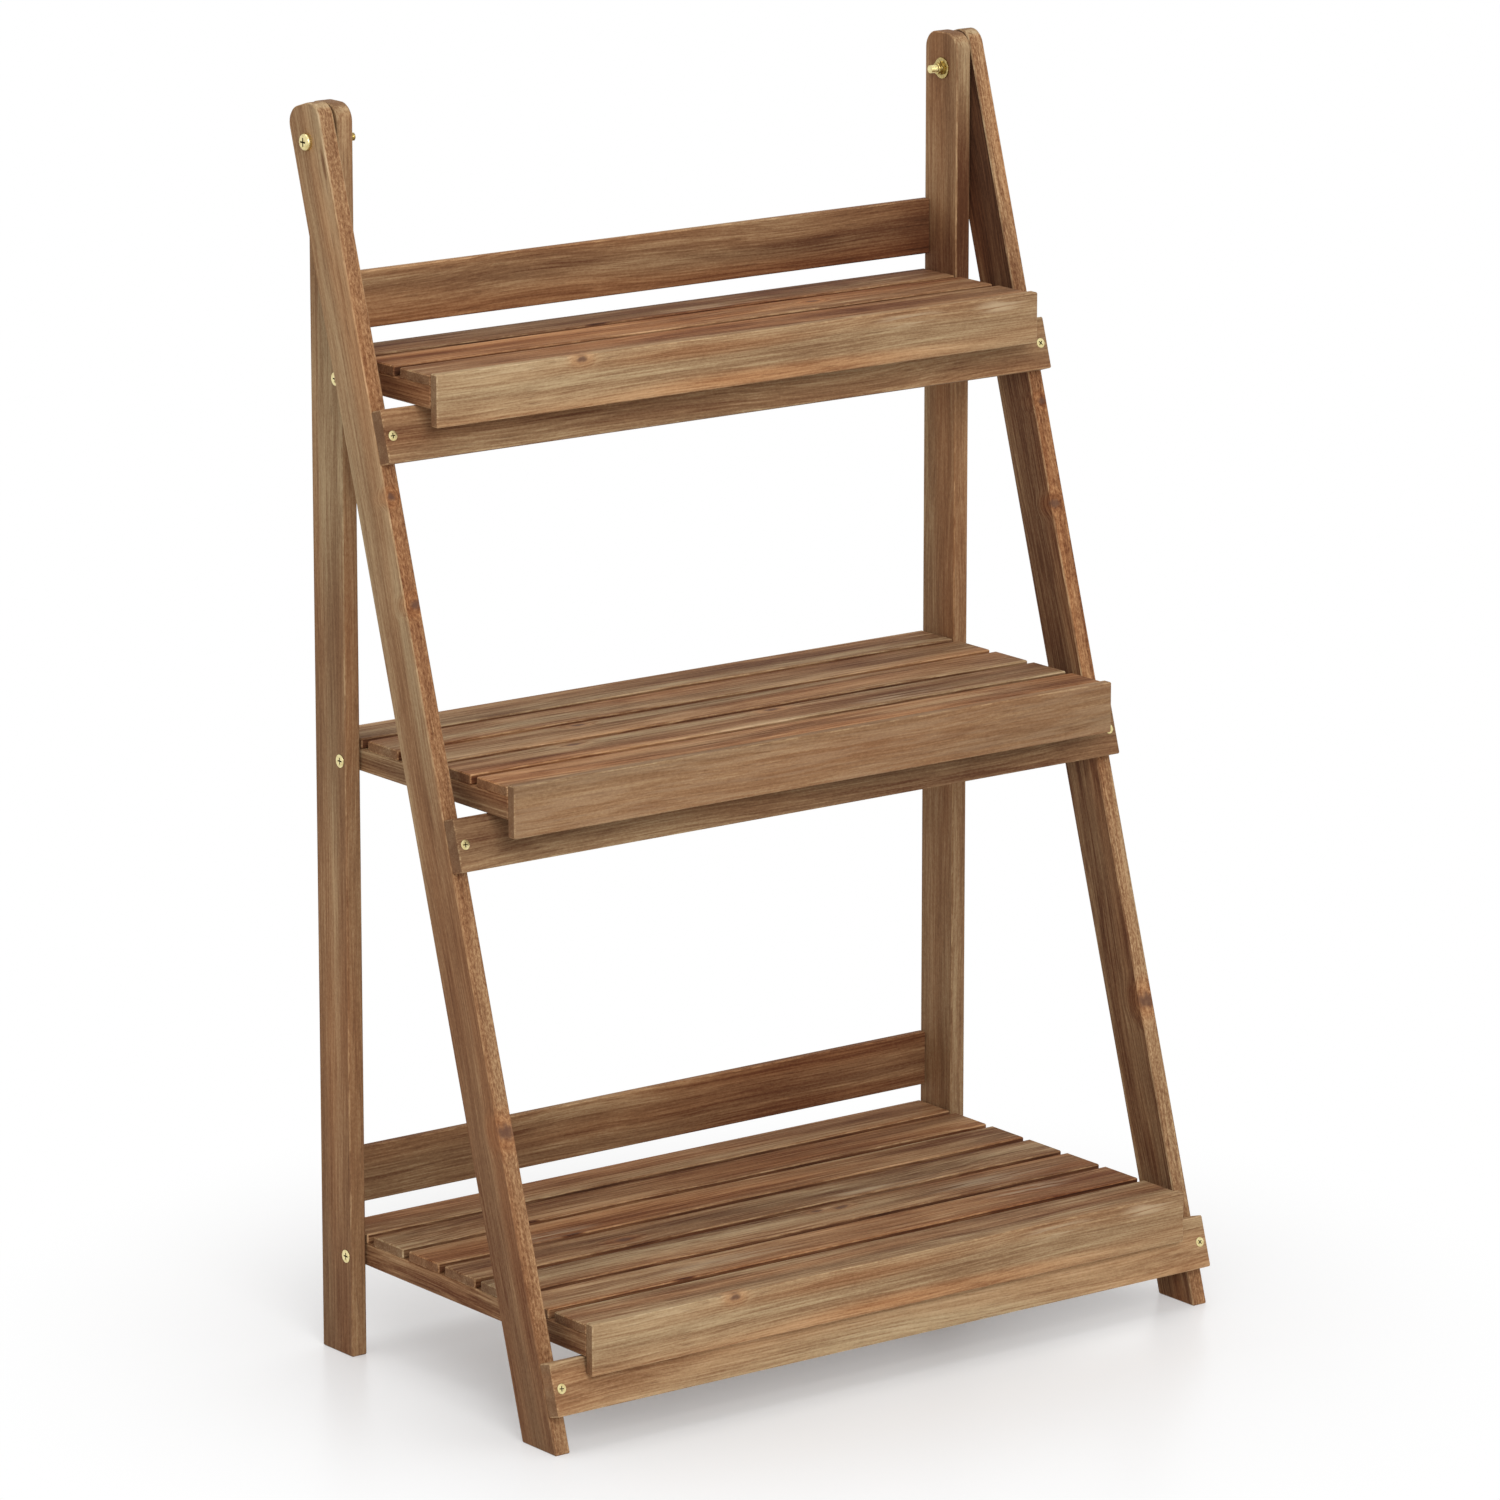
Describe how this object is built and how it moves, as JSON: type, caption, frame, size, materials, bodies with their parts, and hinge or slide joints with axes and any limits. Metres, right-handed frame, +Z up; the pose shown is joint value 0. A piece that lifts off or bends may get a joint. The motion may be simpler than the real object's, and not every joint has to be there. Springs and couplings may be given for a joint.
{
  "type": "folding tiered plant stand",
  "caption": "Folding wooden ladder stand: upright rear frame, splayed front frame hinged at the top, and slatted tiers that swing up on pivot screws so it folds flat.",
  "frame": {"origin": "on the floor under the middle of the stand's overall width and depth", "axes": "+Z up, -Y the front that the tiers step out towards, +X the viewer's right when facing the front"},
  "size_m": [0.608, 0.322, 0.9279],
  "materials": {
    "leg_wood": "oiled, straight grain along the board",
    "rail_wood": "oiled, straight grain along the board",
    "slat_wood": "oiled, straight grain along the board",
    "cleat_wood": "oiled, straight grain along the board",
    "apron_wood": "oiled, straight grain along the board",
    "brass_fittings": "bright yellow plating"
  },
  "bodies": {
    "rear_frame": {"hinge_bolts": "brass_fittings", "hinge_nuts": "brass_fittings", "hinge_washers": "brass_fittings", "lower_back_rail": "rail_wood", "rear_leg_left": "leg_wood", "rear_leg_right": "leg_wood", "upper_back_rail": "rail_wood"},
    "front_frame": {"front_leg_left": "leg_wood", "front_leg_right": "leg_wood", "front_rail_bottom": "rail_wood", "front_rail_middle": "rail_wood", "front_rail_screws": "brass_fittings", "front_rail_top": "rail_wood"},
    "top_shelf": {"top_apron": "apron_wood", "top_cleat_left": "cleat_wood", "top_cleat_right": "cleat_wood", "top_pivot_screws": "brass_fittings", "top_slat_1": "slat_wood", "top_slat_2": "slat_wood", "top_slat_3": "slat_wood"},
    "middle_shelf": {"middle_apron": "apron_wood", "middle_cleat_left": "cleat_wood", "middle_cleat_right": "cleat_wood", "middle_pivot_screws": "brass_fittings", "middle_slat_1": "slat_wood", "middle_slat_2": "slat_wood", "middle_slat_3": "slat_wood", "middle_slat_4": "slat_wood", "middle_slat_5": "slat_wood"},
    "bottom_shelf": {"bottom_apron": "apron_wood", "bottom_cleat_left": "cleat_wood", "bottom_cleat_right": "cleat_wood", "bottom_pivot_screws": "brass_fittings", "bottom_slat_1": "slat_wood", "bottom_slat_2": "slat_wood", "bottom_slat_3": "slat_wood", "bottom_slat_4": "slat_wood", "bottom_slat_5": "slat_wood", "bottom_slat_6": "slat_wood", "bottom_slat_7": "slat_wood"}
  },
  "joints": [
    {"name": "fold", "type": "hinge", "parent": "rear_frame", "child": "front_frame", "pos_m": [0, 0.13776, 0.8996], "axis": [1, 0, 0], "range_deg": [0, 16.85]},
    {"name": "top_shelf_lift", "type": "hinge", "parent": "rear_frame", "child": "top_shelf", "pos_m": [0, 0.12726, 0.72887], "axis": [-1, 0, 0], "range_deg": [0, 90]},
    {"name": "middle_shelf_lift", "type": "hinge", "parent": "rear_frame", "child": "middle_shelf", "pos_m": [0, 0.12726, 0.44856], "axis": [-1, 0, 0], "range_deg": [0, 90]},
    {"name": "bottom_shelf_lift", "type": "hinge", "parent": "rear_frame", "child": "bottom_shelf", "pos_m": [0, 0.12726, 0.0758], "axis": [-1, 0, 0], "range_deg": [0, 90]}
  ],
  "couplings": [
    {"joint": "top_shelf_lift", "follows": "fold", "ratio": 5.3412},
    {"joint": "middle_shelf_lift", "follows": "fold", "ratio": 5.3412},
    {"joint": "bottom_shelf_lift", "follows": "fold", "ratio": 5.3412}
  ]
}
